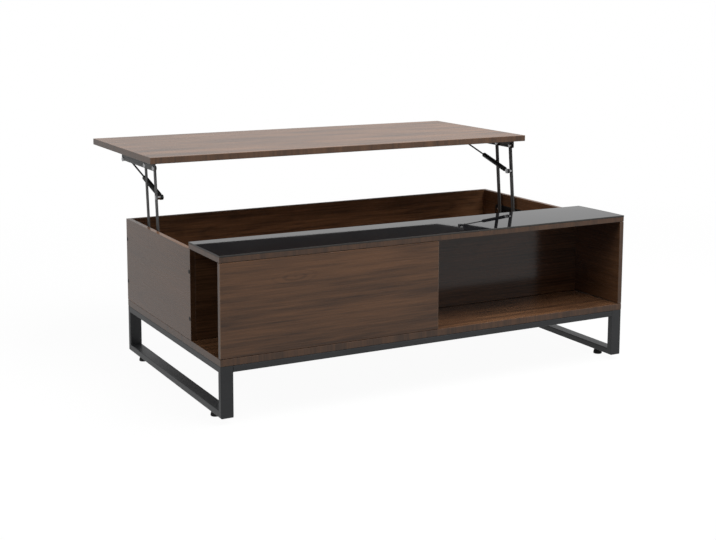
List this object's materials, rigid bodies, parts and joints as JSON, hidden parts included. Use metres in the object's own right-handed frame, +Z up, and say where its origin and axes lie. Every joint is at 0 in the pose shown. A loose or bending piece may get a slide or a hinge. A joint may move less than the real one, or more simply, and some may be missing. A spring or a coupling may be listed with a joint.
{
  "type": "lift-top coffee table",
  "caption": "Low walnut-effect table whose top lifts and shifts to the rear on parallel arms with gas struts, over a storage box; open niches, black glass shelf, steel loop legs.",
  "frame": {"origin": "on the floor, under the middle of the whole table's box with the top raised", "axes": "+X along the length to the right, +Y from the niche side to the side the top moves to, +Z up"},
  "size_m": [1.1, 0.8962, 0.5353],
  "materials": {
    "walnut_board": "satin walnut-effect laminate",
    "black_glass": "black polished glass",
    "charcoal_tube": "charcoal powder coat",
    "mechanism_steel": "dark grey coated steel",
    "bright_zinc": "bright zinc plate",
    "strut_black": "black lacquer",
    "black_plastic": "black moulded plastic",
    "dowel_wood": "plain beech"
  },
  "bodies": {
    "root": {"bottom_board": "walnut_board", "left_end_panel": "walnut_board", "right_end_panel": "walnut_board", "back_panel": "walnut_board", "divider_panel": "walnut_board", "front_panel": "walnut_board", "niche_partition": "walnut_board", "shelf_board": "walnut_board", "shelf_glass": "black_glass", "left_foot_bar": "charcoal_tube", "left_rear_post": "charcoal_tube", "left_top_bar": "charcoal_tube", "left_front_post": "charcoal_tube", "right_foot_bar": "charcoal_tube", "right_rear_post": "charcoal_tube", "right_top_bar": "charcoal_tube", "right_front_post": "charcoal_tube", "front_rail": "charcoal_tube", "rear_rail": "charcoal_tube", "foot_inserts": "bright_zinc", "left_base_plate": "mechanism_steel", "right_base_plate": "mechanism_steel", "base_pivot_rivets": "bright_zinc", "stop_pins": "bright_zinc", "base_screws": "bright_zinc", "panel_screws": "bright_zinc", "frame_bolts": "bright_zinc", "frame_inserts": "bright_zinc", "screw_caps": "black_plastic", "dowels": "dowel_wood"},
    "front_arms": {"left_front_arm": "mechanism_steel", "right_front_arm": "mechanism_steel", "strut_arm_pins": "bright_zinc", "arm_pin_clips": "bright_zinc"},
    "rear_arms": {"left_rear_arm": "mechanism_steel", "right_rear_arm": "mechanism_steel"},
    "raised_top": {"lift_top": "walnut_board", "left_top_rail": "mechanism_steel", "right_top_rail": "mechanism_steel", "upper_pivot_rivets": "bright_zinc", "rail_end_rivets": "bright_zinc", "rail_screws": "bright_zinc"},
    "gas_cylinders": {"left_gas_cylinder": "strut_black", "right_gas_cylinder": "strut_black", "cylinder_glands": "black_plastic"},
    "gas_rods": {"left_gas_rod": "strut_black", "right_gas_rod": "strut_black", "strut_rod_pins": "bright_zinc", "rod_pin_clips": "bright_zinc"},
    "front_left_foot": {"front_left_foot_pad": "black_plastic", "front_left_foot_stud": "bright_zinc"},
    "rear_left_foot": {"rear_left_foot_pad": "black_plastic", "rear_left_foot_stud": "bright_zinc"},
    "front_right_foot": {"front_right_foot_pad": "black_plastic", "front_right_foot_stud": "bright_zinc"},
    "rear_right_foot": {"rear_right_foot_pad": "black_plastic", "rear_right_foot_stud": "bright_zinc"}
  },
  "joints": [
    {"name": "lift", "type": "hinge", "parent": "root", "child": "front_arms", "pos_m": [0, -0.00411, 0.27382], "axis": [1, 0, 0], "range_deg": [0, 78.5]},
    {"name": "rear_arm_swing", "type": "hinge", "parent": "root", "child": "rear_arms", "pos_m": [0, 0.06189, 0.27382], "axis": [1, 0, 0], "range_deg": [0, 78.5]},
    {"name": "top_level", "type": "hinge", "parent": "front_arms", "child": "raised_top", "pos_m": [0, 0.02011, 0.50427], "axis": [1, 0, 0], "range_deg": [-78.5, 0]},
    {"name": "gas_cylinder_swing", "type": "hinge", "parent": "front_arms", "child": "gas_cylinders", "pos_m": [0, 0.01259, 0.43267], "axis": [1, 0, 0], "range_deg": [-88.01, 0]},
    {"name": "gas_rod_slide", "type": "slide", "parent": "gas_cylinders", "child": "gas_rods", "axis": [0, 0.9634, 0.268], "range_m": [-0.08449, 0]},
    {"name": "front_left_foot_screw", "type": "slide", "parent": "root", "child": "front_left_foot", "axis": [0, 0, -1], "range_m": [0, 0.008]},
    {"name": "rear_left_foot_screw", "type": "slide", "parent": "root", "child": "rear_left_foot", "axis": [0, 0, -1], "range_m": [0, 0.008]},
    {"name": "front_right_foot_screw", "type": "slide", "parent": "root", "child": "front_right_foot", "axis": [0, 0, -1], "range_m": [0, 0.008]},
    {"name": "rear_right_foot_screw", "type": "slide", "parent": "root", "child": "rear_right_foot", "axis": [0, 0, -1], "range_m": [0, 0.008]}
  ],
  "couplings": [
    {"joint": "rear_arm_swing", "follows": "lift", "ratio": 1},
    {"joint": "top_level", "follows": "lift", "ratio": -1},
    {"joint": "gas_cylinder_swing", "follows": "lift", "ratio": -1.1211},
    {"joint": "gas_rod_slide", "follows": "lift", "m_per_rad": -0.061668}
  ]
}
